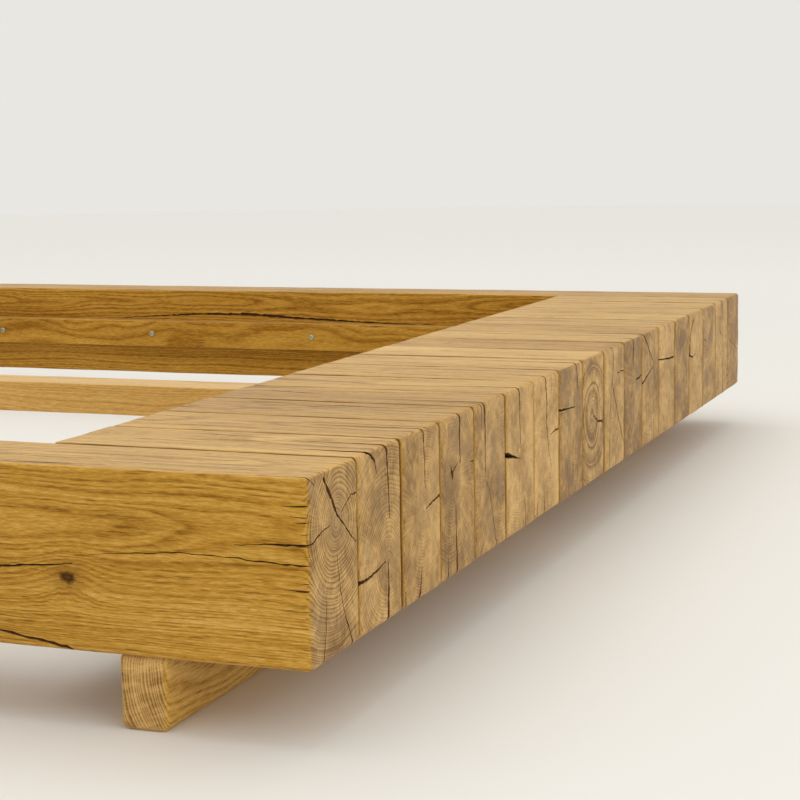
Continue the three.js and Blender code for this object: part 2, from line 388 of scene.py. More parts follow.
def powder_coat(name):
    """Black powder coat on steel: dull, with the fine orange peel of baked powder."""
    material, add, surface = shader(name)
    where = add("place", out="Object")
    # The peel is about 0.8 mm from crest to crest.
    peel = add("noise", {"Vector": where, "Scale": 1250.0, "Detail": 1.0})
    haze = add("noise", {"Vector": where, "Scale": 40.0, "Detail": 3.0})
    tint = add("mix", {0: haze, 6: linear("#17181a"), 7: linear("#34363a")}, out=2)
    bump = add("bump", {"Strength": 0.4, "Distance": 0.1 * MM, "Height": peel})
    material.node_tree.links.new(tint, surface["Base Color"])
    material.node_tree.links.new(bump, surface["Normal"])
    surface["Roughness"].default_value = 0.5
    return material


def shared(name, make, *values):
    """The material of that name, made the first time it is asked for."""
    return bpy.data.materials.get(name) or make(name, *values)


# ---------------------------------------------------------------- splits

class Timber:
    """One straight timber of the frame, in its own place: x along it, y across it, z up."""

    def __init__(self, cad_node, along=0):
        low, high = corners(cad_node)
        size = high - low
        self.middle = (low + high) / 2
        self.turned = along == 1
        self.length, self.width = (size.y, size.x) if self.turned else (size.x, size.y)
        self.height = size.z
        self.cad_node = cad_node

    def on_end(self, end, across_mm, up_mm):
        """A point on the +x or -x end, from the near lower corner, in millimetres."""
        return Vector((end * self.length / 2, across_mm * MM - self.width / 2,
                       up_mm * MM - self.height / 2))

    def on_side(self, side, from_foot_mm, up_mm):
        """A point on the -y or +y side, from the foot end and the underside, in millimetres."""
        return Vector((self.length / 2 - from_foot_mm * MM, side * self.width / 2,
                       up_mm * MM - self.height / 2))

    def on_top(self, from_foot_mm, across_mm):
        """A point on the top face."""
        return Vector((self.length / 2 - from_foot_mm * MM, across_mm * MM - self.width / 2,
                       self.height / 2))


def wavering(points, rng, step, swing):
    """Points every step along the line through the given ones, each knocked a little aside."""
    line = []
    for a, b in zip(points, points[1:]):
        count = max(1, round((b - a).length / step))
        line += [a.lerp(b, i / count) for i in range(count)]
    line.append(points[-1])
    across = [Vector([rng.uniform(-swing, swing) for _ in range(3)]) for _ in line]
    across[0], across[-1] = Vector(), Vector()
    return [point + aside for point, aside in zip(line, across)]


def split_blade(points, outward, widths, depth, rng):
    """A thin wedge that cuts one drying split: open along the points, closed at its floor."""
    lift = 2 * MM
    count = len(points)
    corners = []
    for i, point in enumerate(points):
        share = i / (count - 1)
        tangent = (points[min(i + 1, count - 1)] - points[max(i - 1, 0)]).normalized()
        side = outward.cross(tangent).normalized()
        width = widths[0] + (widths[1] - widths[0]) * share
        width *= rng.uniform(0.5, 1.3) * bpy.context.scene.bed_timber.opening
        deep = depth * rng.uniform(0.85, 1.0) * (0.35 + 0.65 * min(1.0, width / max(widths)))
        half = max(width, 0.05 * MM) * (1 + lift / deep) / 2
        flat = point - outward * (point - points[0]).dot(outward)
        corners += [flat + side * half + outward * lift, flat - side * half + outward * lift,
                    flat - outward * deep]
    faces = []
    for i in range(count - 1):
        left, right, floor, left2, right2, floor2 = range(3 * i, 3 * i + 6)
        faces += [(right, right2, left2, left), (left, left2, floor2, floor),
                  (right2, right, floor, floor2)]
    last = 3 * (count - 1)
    faces += [(0, 2, 1), (last + 1, last + 2, last)]
    mesh = bpy.data.meshes.new("split")
    mesh.from_pydata([tuple(c) for c in corners], [], faces)
    mesh.materials.append(shared("Oak inside old splits", split_wood))
    return bpy.data.objects.new("split", mesh)


def end_split(timber, end, rng, first, last, depth, *marks):
    """A split on a sawn end, through marks in millimetres, from its first width to its last."""
    points = [timber.on_end(end, across, up) for across, up in marks]
    # A beam shrinks most across its width, so the splits that stand upright gape widest.
    run = points[-1] - points[0]
    gape = 1 + 0.55 * abs(run.z) / run.length
    # Where a split reaches the top it runs back along the beam.
    if marks[0][1] > timber.height / MM - 3:
        depth *= 2.2
    half = Vector((0, timber.width / 2, timber.height / 2))
    for tip, neighbour in ((0, 1), (-1, -2)):
        spare = min(half.y - abs(points[tip].y), half.z - abs(points[tip].z))
        if spare < 3 * MM:
            points[tip] = points[tip] + (points[tip] - points[neighbour]).normalized() * 5 * MM
    points = wavering(points, rng, 3.5 * MM, 0.6 * MM)
    widths = (first * gape * MM, last * gape * MM)
    return split_blade(points, Vector((end, 0, 0)), widths, depth * MM, rng)


def radial_splits(timber, end, rng, heart):
    """Drying splits as they fall: spokes from the heart, some of them out to the surface."""
    blades = []
    turn = rng.uniform(0, math.tau)
    for i in range(rng.randint(3, 5)):
        turn += rng.uniform(0.9, 2.0)
        start = rng.uniform(2, 22)
        reach = start + rng.uniform(18, 75)
        marks = []
        for share in (0.0, 0.5, 1.0):
            out = start + (reach - start) * share
            bend = turn + rng.uniform(-0.08, 0.08)
            across = heart[0] + out * math.cos(bend)
            up = heart[1] + out * math.sin(bend)
            marks.append((min(max(across, 0), timber.width / MM), min(max(up, 0), timber.height / MM)))
        if (Vector(marks[0]) - Vector(marks[-1])).length < 12 or marks[1] == marks[2]:
            continue
        widths = (rng.uniform(0.3, 1.2), rng.uniform(0.8, 2.6))
        blades.append(end_split(timber, end, rng, *widths, rng.uniform(20, 70), *marks))
    return blades


def face_splits(timber, rng, count, face, longest, widest):
    """Long thin splits along the grain of one face."""
    blades = []
    outward = {"top": UP, "near": NEARWARD, "far": FARWARD}[face]
    for _ in range(count):
        length = rng.uniform(0.35, 1.0) * min(longest * MM, timber.length * 0.7)
        x = rng.uniform(length / 2 - timber.length / 2 + 6 * MM, timber.length / 2 - length / 2 - 6 * MM)
        if face == "top":
            spot = Vector((x, rng.uniform(-0.42, 0.42) * timber.width, timber.height / 2))
            slope = Vector((0, rng.uniform(-0.012, 0.012), 0))
        else:
            side = 1 if face == "far" else -1
            spot = Vector((x, side * timber.width / 2, rng.uniform(-0.4, 0.4) * timber.height))
            slope = Vector((0, 0, rng.uniform(-0.015, 0.015)))
        along = Vector((length / 2, 0, 0)) + slope * length
        middle = spot + slope.normalized() * rng.uniform(-1, 1) * MM
        widest_here = rng.uniform(0.5, 1.0) * widest * MM
        for tip in (spot - along, spot + along):
            points = wavering([middle, tip], rng, 14 * MM, 0.45 * MM)
            depth = rng.uniform(5, 12) * MM
            blades.append(split_blade(points, outward, (widest_here, 0.1 * MM), depth, rng))
    return blades


def line_split(rng, outward, first, last, depth, points):
    """One long split along marks chosen on a face."""
    points = wavering(points, rng, 7 * MM, 0.6 * MM)
    return split_blade(points, outward, (first * MM, last * MM), depth * MM, rng)


# ---------------------------------------------------------------- timbers

def geometry_tree(name, described):
    """A new geometry tree whose inputs are given as name: (kind, default, description)."""
    tree = bpy.data.node_groups.new(name, "GeometryNodeTree")
    for in_out in ("INPUT", "OUTPUT"):
        tree.interface.new_socket("Geometry", in_out=in_out, socket_type="NodeSocketGeometry")
    for title, (kind, default, description) in described.items():
        socket = tree.interface.new_socket(title, in_out="INPUT", socket_type="NodeSocket" + kind,
                                           description=description)
        if default is not None:
            socket.default_value = default
    add = partial(node, tree)
    return tree, add, add("NodeGroupInput", out=None)


TIMBER_INPUTS = {
    "Size": ("Vector", None, "Length, width and height"),
    "Ease": ("Float", 3 * MM, "Radius of the long edges"),
    "End Ease": ("Float", 6 * MM, "Radius around the ends"),
    "Cells Along": ("Int", 30, ""),
    "Cells Across": ("Int", 24, ""),
    "Cells Up": ("Int", 36, ""),
    "Unevenness": ("Float", 0.0, "Wander of the faces"),
    "Seed": ("Float", 0.0, "Which tree it was cut from"),
    "Middle": ("Vector", None, "Where the timber's middle goes"),
    "Turn": ("Vector", None, "Rotation about its middle"),
    "Heart": ("Vector", None, "Heart of the trunk from the middle"),
    "Tone": ("Vector", None, "Shade, greyness and ring size"),
    "Ends": ("Vector", None, "Ring contrast and shade of the ends"),
    "Knot": ("Vector", None, "A knot's place from the middle"),
    "Joined": ("Vector", None, "Seam on the low side, on the high side, and beyond what distance"),
    "Splits": ("Collection", None, "Wedges that cut the splits"),
    "Wood": ("Material", None, ""),
    "Split Wood": ("Material", None, ""),
}
# Rows of faces that round one edge.
EDGE_CELLS = 3
NONE, FULL = (0, 0, 0), (1, 1, 1)


def timber_tree():
    """Geometry nodes that shape a sawn timber: eased edges, uneven faces, splits cut in."""
    made = bpy.data.node_groups.get("Sawn timber")
    if made:
        return made
    tree, add, given = geometry_tree("Sawn timber", TIMBER_INPUTS)

    cells = [given[key] for key in ("Cells Along", "Cells Across", "Cells Up")]
    edge = add("vector_divide", (2 * EDGE_CELLS,) * 3, add("together", *cells))
    inside = add("vector_subtract", FULL, edge)
    counts = [add("add", count, 1.0) for count in cells]
    block = add("GeometryNodeMeshCube", (2, 2, 2), *counts)
    spot = add("position")
    sign = add("vector_sign", spot)
    size = add("vector_absolute", spot)
    flat = add("vector_divide", add("vector_minimum", size, inside), inside)
    over = add("vector_maximum", add("vector_subtract", size, inside), NONE)
    over = add("vector_divide", over, edge)
    half = add("vector_scale", {0: given["Size"], "Scale": 0.5})
    # The long edges are crisp and grow rounder where they run out at the ends.
    grown_ease = add("range", {"Value": add("apart", over), "To Min": given["Ease"],
                               "To Max": given["End Ease"]})
    radii = add("together", given["End Ease"], grown_ease, grown_ease)
    core = add("vector_multiply", add("vector_subtract", half, radii), flat)
    shape = add("vector_multiply_add", add("vector_normalize", over), radii, core)
    shape = add("vector_multiply", shape, sign)

    # Slow waves of the sander, each timber with its own, weaker across so that neighbours stay apart.
    drift = add("together", given["Seed"], given["Seed"])
    wave = add("noise", {"Vector": add("vector_multiply_add", shape, (9, 26, 26), drift),
                         "Scale": 1.0, "Detail": 2.0}, out="Color")
    wave = add("vector_scale", {0: add("vector_subtract", wave, (0.5, 0.5, 0.5)),
                                "Scale": given["Unevenness"]})
    shape = add("vector_multiply_add", wave, (1, 0.35, 1), shape)
    timber = add("move", {"Geometry": block, "Position": shape})
    splits = add("GeometryNodeCollectionInfo", {"Collection": given["Splits"],
                                                "Separate Children": True})
    timber = add("cut", {"Mesh 1": timber, "Mesh 2": splits})

    spot = add("position")
    log = add("vector_subtract", spot, given["Heart"])
    knot = add("vector_scale", {0: add("vector_subtract", spot, given["Knot"]),
                                "Scale": 1 / (8 * MM)})
    # How far round each edge a point lies: 0 on the flat, 1 where the next face begins.
    ease = add("together", given["End Ease"], given["Ease"], given["Ease"])
    flat = add("vector_subtract", half, ease)
    turned = add("vector_divide", add("vector_subtract", add("vector_absolute", spot), flat), ease)
    turned = add("vector_minimum", add("vector_maximum", turned, NONE), FULL)
    edges, spots, joined = (add("apart", value, out=None) for value in (turned, spot, given["Joined"]))
    beside = add("multiply_add", add("greater_than", spots["Y"], 0.0),
                 add("subtract", joined["Y"], joined["X"]), joined["X"])
    beside = add("multiply", beside, add("greater_than", add("absolute", spots["X"]), joined["Z"]))
    gap = add("GeometryNodeProximity", {"Geometry": splits}, out=None, target_element="FACES")
    near_split = add("subtract", 1.0, add("multiply", gap["Distance"], 1 / (4 * MM)))
    near_split = add("multiply", add("maximum", near_split, 0.0), gap["Is Valid"])
    # X is how far round the edge a point lies on a side that meets a neighbour, which the oak darkens as
    # painted shade of the groove with oil and dust; Y is how near a split.
    wear = add("together", add("multiply", edges["Y"], beside), near_split)
    for name, value in (("log", log), ("knot", knot), ("tone", given["Tone"]), ("ends", given["Ends"]),
                        ("wear", wear)):
        timber = add("store", {"Geometry": timber, "Name": name, "Value": value})
    timber = add("transform", {"Geometry": timber, "Translation": given["Middle"],
                               "Rotation": given["Turn"]})
    sound = add("FunctionNodeBooleanMath",
                add("GeometryNodeMaterialSelection", given["Split Wood"]), operation="NOT")
    whole = add("material", {"Geometry": add("realize", timber), "Selection": sound,
                             "Material": given["Wood"]})
    add("NodeGroupOutput", {"Geometry": whole}, out=None)
    return tree


def grown(tree, name, values):
    """Run a geometry tree with the values given by input name, and return its plain mesh."""
    carrier = bpy.data.objects.new(name, bpy.data.meshes.new(name))
    bpy.context.scene.collection.objects.link(carrier)
    modifier = carrier.modifiers.new(name, "NODES")
    modifier.node_group = tree
    for item in tree.interface.items_tree:
        if item.item_type == "SOCKET" and item.in_out == "INPUT" and item.name in values:
            modifier[item.identifier] = values[item.name]
    depsgraph = bpy.context.evaluated_depsgraph_get()
    depsgraph.update()
    evaluated = carrier.evaluated_get(depsgraph)
    mesh = bpy.data.meshes.new_from_object(evaluated, preserve_all_data_layers=True, depsgraph=depsgraph)
    carrier.modifiers.clear()
    bpy.data.objects.remove(carrier)
    return mesh


def finished(name, mesh, replaced):
    """Make the mesh a piece of the frame that stands for the CAD nodes named."""
    mesh.name = name
    piece = bpy.data.objects.new(name, mesh)
    bpy.context.scene.collection.objects.link(piece)
    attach(piece, BODY)
    if replaced:
        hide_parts(*replaced)
    return piece


def make_timber(name, timber, material, eases, cells, heart, tone, seed, splits=(),
                knot=NO_KNOT, joined=(0, 0, 0), shift=(0, 0, 0), ends=(1.0, 0.0)):
    """Shape one timber with its splits, and put it in the place of its CAD node."""
    box = bpy.data.collections.new("splits")
    bpy.context.scene.collection.children.link(box)
    for blade in splits:
        box.objects.link(blade)
    # Every timber is cut from its own stretch of trunk, so the grain never repeats.
    offset = Vector((-7.3 * seed, 0, 0))
    values = {
        "Size": (timber.length, timber.width, timber.height),
        "Ease": eases[0],
        "End Ease": eases[1],
        "Cells Along": cells[0],
        "Cells Across": cells[1],
        "Cells Up": cells[2],
        "Unevenness": bpy.context.scene.bed_timber.unevenness,
        "Seed": 11.7 * seed,
        "Middle": tuple(timber.middle + Vector(shift) * MM),
        "Turn": (0, 0, math.pi / 2) if timber.turned else (0, 0, 0),
        "Heart": tuple(Vector(heart) + offset),
        "Tone": tone,
        "Knot": knot,
        "Ends": (*ends, 0.0),
        "Joined": tuple(float(value) for value in joined),
        "Splits": box,
        "Wood": material,
        "Split Wood": shared("Oak inside old splits", split_wood),
    }
    mesh = grown(timber_tree(), name, values)
    for blade in list(box.objects):
        shape = blade.data
        bpy.data.objects.remove(blade)
        bpy.data.meshes.remove(shape)
    bpy.data.collections.remove(box)
    for polygon in mesh.polygons:
        polygon.use_smooth = True
    mesh.set_sharp_from_angle(angle=math.radians(CRISP_WOOD))
    return finished(name, mesh, [timber.cad_node])


# ---------------------------------------------------------------- the beams as they were laid

# Foot-end beams from the near rail to the far one: shade, greyness, heart (across, up) in mm,
# ring size, how strongly the rings show on the end and the end's own shade.
FOOT_BEAMS = {
    1: (-0.09, 0.55, 65, 125, 1.1, 2.0, -0.16),
    2: (-0.02, 0.40, 76, 63, 1.1, 1.2, 0.04),
    3: (-0.13, 0.30, 65, 90, 0.9, 0.8, 0.00),
    4: (-0.23, 0.60, 40, 112, 1.0, 0.9, -0.09),
    5: (-0.27, 0.70, 98, 70, 1.2, 0.6, 0.04),
    6: (-0.08, 0.10, 58, 100, 0.9, 0.6, 0.18),
    7: (-0.11, 0.10, 72, 98, 1.1, 0.5, 0.30),
    8: (0.00, 0.75, 88, 128, 1.0, 0.6, -0.09),
    9: (0.03, 0.35, 50, 96, 3.4, 2.0, -0.06),
    10: (-0.24, 0.20, 44, 130, 0.9, 0.6, 0.20),
    11: (-0.01, 0.70, 96, 114, 1.0, 0.7, -0.16),
    12: (-0.20, 0.40, 81, 122, 1.1, 0.7, -0.04),
    13: (-0.15, 0.15, 60, 124, 0.9, 0.5, 0.16),
    14: (0.00, 0.80, 30, 60, 1.2, 0.8, -0.11),
    15: (0.02, 0.25, 12, 104, 1.0, 0.8, 0.22),
    16: (-0.05, 0.75, 140, 90, 1.1, 0.8, 0.04),
    17: (-0.07, 0.30, 40, 116, 1.0, 0.8, 0.14),
    # The far rail's side shade is set darker than its wood: painted shade for its inner face, which lies
    # in the bed's shadow.
    18: (-0.20, 0.45, -20, 150, 1.3, 2.0, -0.16),
}

# Splits on the tops of those beams: width at the first mark and at the last, depth, then the
# marks (from the foot end, across from the near side), all in millimetres.
TOP_SPLITS = {
    1: [(0.8, 2.6, 8, (330, 9), (285, 10)), (2.6, 0.6, 8, (285, 10), (236, 12)),
        (0.4, 1.6, 8, (180, 30), (60, 27))],
    2: [(0.5, 2.4, 12, (239, 96), (190, 90)), (2.4, 0.5, 12, (190, 90), (120, 84))],
    4: [(0.6, 4.2, 14, (190, 88), (140, 87)), (4.2, 2.0, 14, (140, 87), (122, 86)),
        (2.0, 0.4, 10, (122, 86), (40, 84))],
    5: [(0.6, 3.4, 12, (310, 74), (250, 64)), (3.4, 0.5, 12, (250, 64), (200, 60))],
    7: [(0.5, 2.6, 12, (322, 40), (230, 32)), (2.6, 0.6, 12, (230, 32), (100, 24))],
    10: [(0.5, 2.8, 12, (310, 78), (200, 68)), (2.8, 0.5, 12, (200, 68), (40, 60))],
    15: [(0.5, 2.0, 10, (318, 84), (290, 84)), (2.0, 0.5, 10, (290, 84), (258, 84))],
}

# Splits on the foot ends: width at the first mark and at the last, depth, then the marks
# (across from the near side, up from the underside), all in millimetres.
FOOT_SPLITS = {
    1: [(3.2, 1.8, 60, (34, 172), (45, 158), (64, 133), (72, 126)),
        (1.8, 0.8, 40, (72, 126), (88, 113), (107, 98)),
        (2.2, 0.9, 60, (0, 116), (10, 118), (27, 123), (46, 126)),
        (0.8, 1.6, 30, (74, 133), (97, 145), (109, 145)),
        (0.6, 1.6, 40, (62, 95), (68, 60), (73, 48), (83, 25), (97, 0)),
        (0.5, 1.3, 30, (35, 58), (33, 30), (26, 0)),
        (1.8, 0.6, 12, (4, 177), (13, 168))],
    2: [(5.0, 1.2, 55, (0, 55), (25, 55), (47, 58), (70, 61)),
        (1.4, 4.2, 70, (76, 60), (76, 33), (74, 0)),
        (3.0, 1.0, 60, (75, 177), (78, 150), (82, 103)),
        (3.6, 0.6, 40, (30, 177), (43, 167), (50, 152))],
    3: [(2.0, 1.0, 70, (64, 177), (65, 150), (68, 114)),
        (1.2, 3.4, 45, (68, 92), (89, 97), (108, 99), (115, 96)),
        (0.7, 2.8, 60, (54, 34), (50, 18), (46, 0)),
        (0.8, 1.6, 30, (6, 18), (6, 0))],
    4: [(2.6, 1.4, 70, (65, 177), (63, 150), (63, 122)),
        (4.6, 1.2, 25, (36, 117), (38, 108)),
        (3.2, 0.5, 20, (36, 115), (31, 126)),
        (2.4, 0.5, 20, (36, 116), (57, 124)),
        (1.0, 2.6, 50, (47, 81), (49, 45), (50, 0)),
        (0.7, 2.0, 40, (23, 25), (20, 0)),
        (1.0, 2.2, 25, (97, 118), (115, 117))],
    5: [(3.2, 1.0, 80, (35, 177), (38, 146), (36, 118), (38, 90)),
        (1.6, 0.6, 60, (24, 177), (26, 146)),
        (0.7, 0.9, 20, (39, 88), (54, 70), (72, 15), (78, 0)),
        (0.5, 1.6, 30, (22, 14), (22, 0)),
        (0.5, 1.5, 30, (58, 12), (59, 0))],
    6: [(7.5, 0.6, 70, (0, 103), (28, 97), (57, 90)),
        (2.4, 1.0, 60, (53, 177), (54, 144), (57, 108)),
        (0.8, 2.0, 50, (72, 42), (76, 0)),
        (0.8, 2.0, 40, (110, 60), (112, 0))],
    7: [(2.6, 1.6, 80, (52, 177), (57, 140), (54, 112)),
        (1.6, 0.5, 40, (54, 112), (63, 87), (78, 50)),
        (1.0, 3.0, 30, (74, 99), (96, 102), (115, 101)),
        (0.8, 2.4, 40, (15, 22), (11, 0)),
        (0.8, 2.6, 40, (44, 26), (44, 0))],
    8: [(3.6, 1.0, 60, (0, 124), (39, 121), (75, 119)),
        (3.2, 0.8, 70, (82, 177), (86, 155), (90, 138)),
        (0.6, 1.8, 30, (45, 9), (47, 0)),
        (0.6, 1.8, 30, (75, 12), (73, 0))],
    9: [(1.4, 4.4, 50, (54, 94), (78, 82), (104, 79)),
        (2.4, 0.6, 40, (7, 166), (4, 138))],
    10: [(2.4, 1.6, 70, (48, 177), (47, 135), (41, 128)),
         (1.6, 1.2, 40, (41, 128), (62, 95), (91, 52), (112, 28)),
         (1.2, 1.2, 40, (41, 128), (30, 80), (25, 0)),
         (1.0, 2.6, 30, (70, 136), (92, 138), (113, 136)),
         (0.6, 2.2, 30, (62, 22), (62, 0))],
    11: [(3.0, 1.0, 70, (56, 177), (59, 155), (57, 130)),
         (1.6, 4.0, 45, (70, 113), (93, 113), (115, 117)),
         (0.5, 1.5, 30, (12, 14), (10, 0)),
         (0.5, 1.6, 30, (60, 14), (62, 0)),
         (0.5, 1.6, 30, (92, 16), (94, 0))],
    12: [(2.8, 1.0, 60, (8, 177), (39, 154), (48, 145), (81, 122)),
         (3.2, 1.0, 50, (2, 101), (43, 112), (81, 121)),
         (1.0, 1.6, 50, (78, 177), (79, 122), (77, 0))],
    13: [(2.0, 3.4, 50, (0, 125), (49, 121), (75, 119), (115, 118)),
         (1.8, 0.7, 60, (42, 177), (40, 143))],
    14: [(2.6, 0.6, 50, (29, 177), (26, 150)),
         (0.6, 1.4, 30, (58, 34), (74, 0)),
         (0.6, 1.4, 30, (30, 30), (22, 0))],
    15: [(3.0, 2.2, 50, (32, 165), (6, 140), (4, 108)),
         (4.0, 1.0, 40, (2, 106), (28, 100), (50, 104)),
         (0.6, 1.6, 30, (70, 24), (74, 0))],
    16: [(2.2, 0.8, 20, (12, 122), (18, 118)),
         (0.6, 1.4, 30, (96, 60), (99, 0))],
    17: [(2.8, 0.8, 30, (42, 122), (52, 112)),
         (0.8, 1.8, 50, (66, 108), (70, 60), (72, 0)),
         (1.8, 0.6, 50, (60, 177), (62, 140))],
    18: [(2.4, 0.6, 30, (14, 40), (18, 30)),
         (0.8, 1.2, 30, (20, 96), (100, 70))],
}


def foot_splits(timber, number, rng):
    """The splits of one beam's foot end and of its top."""
    blades = [end_split(timber, 1, rng, *split) for split in FOOT_SPLITS.get(number, ())]
    for first, last, depth, *marks in TOP_SPLITS.get(number, ()):
        points = [timber.on_top(along, across) for along, across in marks]
        blades.append(line_split(rng, UP, first, last, depth, points))
    return blades


def heart_of(timber, across_mm, up_mm, lean=0.0):
    """The heart of the trunk, measured from the timber's middle."""
    return (lean, across_mm * MM - timber.width / 2, up_mm * MM - timber.height / 2)


def near_rail_splits(timber, rng):
    """Splits of the near rail's outer face and the saw-tooth splits of its end."""

    def face(first, last, depth, *marks):
        points = [timber.on_side(-1, along, up) for along, up in marks]
        return line_split(rng, NEARWARD, first, last, depth, points)

    blades = [
        face(1.2, 2.6, 6, (520, 66), (420, 71), (322, 77)),
        face(2.6, 1.0, 6, (322, 77), (282, 80.5), (258, 82.5), (243, 84.5)),
        face(0.4, 1.0, 2.5, (240, 92), (212, 95), (169, 99)),
        face(1.0, 1.0, 2.5, (169, 99), (130, 102), (105, 101), (78, 101)),
        face(1.0, 2.0, 4, (78, 101), (48, 99), (23, 98), (-3, 97.5)),
        face(0.5, 2.0, 6, (74, 113), (44, 115), (23, 115.5), (-3, 117)),
        # A sliver of the lower edge is split away from the beam.
        face(3.4, 2.4, 7, (470, 24), (400, 20), (326, 14), (253, 3), (236, -3)),
    ]
    # Short splits where the grain runs out at the corner, one every few millimetres.
    up = 8.0
    while up < timber.height / MM - 6:
        reach = rng.choice((4, 6, 9, 15, 26)) * rng.uniform(0.7, 1.2)
        drop = rng.uniform(-1.2, 1.2)
        blades.append(face(0.3, rng.uniform(0.7, 1.9), 4, (reach, up + drop), (-3, up)))
        up += rng.uniform(4.0, 13.0)
    return blades


# ---------------------------------------------------------------- screws

SCREW_INPUTS = {
    "Places": ("Object", None, "Mesh with a point for each screw"),
    "Head Radius": ("Float", 6 * MM, ""),
    "Head Height": ("Float", 3 * MM, ""),
    "Recess Radius": ("Float", 3 * MM, ""),
    "Shank Radius": ("Float", 3 * MM, ""),
    "Shank Length": ("Float", 30 * MM, ""),
    "Seed": ("Int", 1, ""),
    "Steel": ("Material", None, ""),
}


def screw_tree():
    """Geometry nodes that set one screw on every point, turned at random about its own axis."""
    made = bpy.data.node_groups.get("Screws on points")
    if made:
        return made
    tree, add, given = geometry_tree("Screws on points", SCREW_INPUTS)
    places = add("GeometryNodeObjectInfo", {"Object": given["Places"]}, out="Geometry")

    # The head: a low dome on a straight rim, with a six-sided recess sunk into it.
    head = add("cylinder", {"Vertices": 32, "Side Segments": 6, "Fill Segments": 6, "Radius": 1.0,
                            "Depth": 1.0})
    spot = add("apart", add("position"), out=None)
    level = add("add", spot["Z"], 0.5)
    rise = add("range", {"Value": level, "From Min": 0.35, "From Max": 1.0})
    squeeze = add("multiply_add", add("power", rise, 2.2), -0.28, 1.0)
    wide = add("vector_scale", {0: add("together", spot["X"], spot["Y"]),
                                "Scale": add("multiply", squeeze, given["Head Radius"])})
    high = add("together", {"Z": add("multiply", level, given["Head Height"])})
    head = add("move", {"Geometry": head, "Position": add("vector_add", wide, high)})
    bore = add("cylinder", {"Vertices": 6, "Radius": given["Recess Radius"],
                            "Depth": given["Head Height"]})
    bore = add("transform", {"Geometry": bore,
                             "Translation": add("together", {"Z": given["Head Height"]})})
    head = add("cut", {"Mesh 1": head, "Mesh 2": bore})
    shank = add("cylinder", {"Vertices": 16, "Radius": given["Shank Radius"],
                             "Depth": given["Shank Length"]})
    drop = add("together", {"Z": add("multiply", given["Shank Length"], -0.5)})
    shank = add("transform", {"Geometry": shank, "Translation": drop})
    screw = add("GeometryNodeJoinGeometry", head)
    tree.links.new(shank, screw.node.inputs[0])

    facing = add("GeometryNodeInputNamedAttribute", {"Name": "facing"}, data_type="FLOAT_VECTOR")
    stand = add("FunctionNodeAlignRotationToVector", {"Vector": facing}, axis="Z")
    twist = add("FunctionNodeRandomValue", {"Min": NONE, "Max": (0, 0, math.tau),
                                            "Seed": given["Seed"]}, data_type="FLOAT_VECTOR")
    turn = add("FunctionNodeRotateRotation", {"Rotation": stand, "Rotate By": twist},
               rotation_space="LOCAL")
    screws = add("GeometryNodeInstanceOnPoints", {"Points": places, "Instance": screw,
                                                  "Rotation": turn})
    whole = add("material", {"Geometry": add("realize", screws), "Material": given["Steel"]})
    add("NodeGroupOutput", {"Geometry": whole}, out=None)
    return tree


def make_screws(name, places, sizes_mm, replaced=(), seed=1):
    """One mesh of equal screws; places are (seat of the head, direction it faces) pairs."""
    points = bpy.data.meshes.new("places")
    points.from_pydata([tuple(seat) for seat, _ in places], [], [])
    facing = points.attributes.new("facing", "FLOAT_VECTOR", "POINT")
    for item, (_, direction) in zip(facing.data, places):
        item.vector = direction
    marker = bpy.data.objects.new("places", points)
    bpy.context.scene.collection.objects.link(marker)
    names = ("Head Radius", "Head Height", "Recess Radius", "Shank Radius", "Shank Length")
    values = {key: size * MM for key, size in zip(names, sizes_mm)}
    values.update({"Places": marker, "Seed": seed, "Steel": shared("Zinc plated steel", zinc_steel)})
    mesh = grown(screw_tree(), name, values)
    bpy.data.objects.remove(marker)
    mesh.set_sharp_from_angle(angle=math.radians(CRISP_STEEL))
    return finished(name, mesh, replaced)


# ---------------------------------------------------------------- operators

